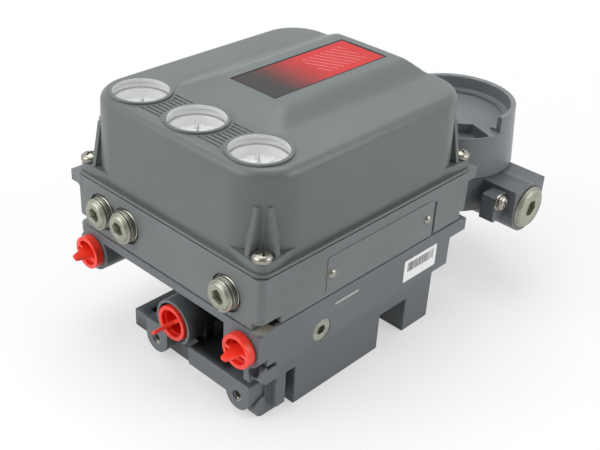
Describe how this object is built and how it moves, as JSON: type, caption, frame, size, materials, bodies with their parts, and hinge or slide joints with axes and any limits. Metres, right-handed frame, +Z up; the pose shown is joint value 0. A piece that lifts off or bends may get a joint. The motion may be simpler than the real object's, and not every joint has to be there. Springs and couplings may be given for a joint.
{
  "type": "valve positioner",
  "caption": "Box-shaped digital valve positioner with lift-off cover, gauge row, pipe ports with pull-out caps, lugs, magnet channel and screw-capped terminal box.",
  "frame": {"origin": "centre of the overall box at the level of the feet, with the instrument lying on its back", "axes": "+Z up out of the cover, +X along the nameplate side toward the terminal box, +Y along the port side away from the nameplate side"},
  "size_m": [0.2082, 0.129, 0.1149],
  "materials": {
    "housing_paint": "satin powder paint over die cast alloy",
    "base_paint": "satin grey powder paint over die cast alloy",
    "plate_paint": "grey sheet",
    "plug_steel": "cast stainless, matte",
    "bright_steel": "bright stainless",
    "dark_steel": "zinc plated steel",
    "seal_rubber": "matte",
    "paper": "plain white sticker",
    "black_plastic": "matte",
    "dial_white": "printed white",
    "pointer_black": "matte black",
    "potting": "potting compound",
    "board_green": "solder mask",
    "alloy": "bead blasted",
    "brass": "turned",
    "strip_blue": "moulded",
    "window_clear": "clear",
    "label_red": "printed film",
    "cap_red": "moulded polyethylene"
  },
  "bodies": {
    "instrument": {"housing": "housing_paint", "module_gasket": "seal_rubber", "module_base": "base_paint", "pipe_plugs": "plug_steel", "housing_plug": "plug_steel", "nameplate": "plate_paint", "drive_screws": "bright_steel", "asset_sticker": "paper", "module_screws": "dark_steel", "gauge_cases": "black_plastic", "gauge_dials": "dial_white", "electronics_case": "potting", "circuit_board": "board_green", "board_screws": "bright_steel", "ip_converter": "alloy", "ip_shroud": "black_plastic", "relay_body": "alloy", "relay_seal": "seal_rubber", "relay_screws": "dark_steel", "sensor_block": "potting", "terminal_box": "housing_paint", "box_gasket": "seal_rubber", "box_screws": "dark_steel", "terminal_board": "board_green", "terminal_strip": "strip_blue", "terminal_screws": "bright_steel", "cap_seal": "seal_rubber", "conduit_plug": "plug_steel", "ground_screw": "bright_steel"},
    "cover": {"cover": "base_paint", "cover_seal": "seal_rubber", "cover_windows": "window_clear", "cover_screws": "bright_steel", "cover_label": "label_red"},
    "terminal_cap": {"terminal_cap": "housing_paint"},
    "pointer_a": {"pointer_a": "pointer_black"},
    "pointer_b": {"pointer_b": "pointer_black"},
    "pointer_c": {"pointer_c": "pointer_black"},
    "relay_disc": {"relay_disc": "brass"},
    "port_cap_a": {"port_cap_a": "cap_red"},
    "port_cap_b": {"port_cap_b": "cap_red"},
    "port_cap_vent": {"port_cap_vent": "cap_red"}
  },
  "joints": [
    {"name": "cover_lift", "type": "slide", "parent": "instrument", "child": "cover", "axis": [0, 0, 1], "range_m": [0, 0.09]},
    {"name": "cap_unscrew", "type": "hinge", "parent": "instrument", "child": "terminal_cap", "pos_m": [0.07305, -0.01495, 0.0665], "axis": [0, 0, 1], "range_deg": [0, 720]},
    {"name": "pointer_a_turn", "type": "hinge", "parent": "instrument", "child": "pointer_a", "pos_m": [-0.07475, -0.02955, 0.1034], "axis": [0, 0, -1], "range_deg": [0, 270]},
    {"name": "pointer_b_turn", "type": "hinge", "parent": "instrument", "child": "pointer_b", "pos_m": [-0.07475, 0.00445, 0.1034], "axis": [0, 0, -1], "range_deg": [0, 270]},
    {"name": "pointer_c_turn", "type": "hinge", "parent": "instrument", "child": "pointer_c", "pos_m": [-0.07475, 0.03845, 0.1034], "axis": [0, 0, -1], "range_deg": [0, 270]},
    {"name": "relay_adjust", "type": "hinge", "parent": "instrument", "child": "relay_disc", "pos_m": [0.00445, 0.02945, 0.0965], "axis": [0, 0, 1], "range_deg": [-90, 90]},
    {"name": "port_cap_a_pull", "type": "slide", "parent": "instrument", "child": "port_cap_a", "axis": [-1, 0, 0], "range_m": [0, 0.03]},
    {"name": "port_cap_b_pull", "type": "slide", "parent": "instrument", "child": "port_cap_b", "axis": [-1, 0, 0], "range_m": [0, 0.03]},
    {"name": "port_cap_vent_pull", "type": "slide", "parent": "instrument", "child": "port_cap_vent", "axis": [-1, 0, 0], "range_m": [0, 0.03]}
  ]
}
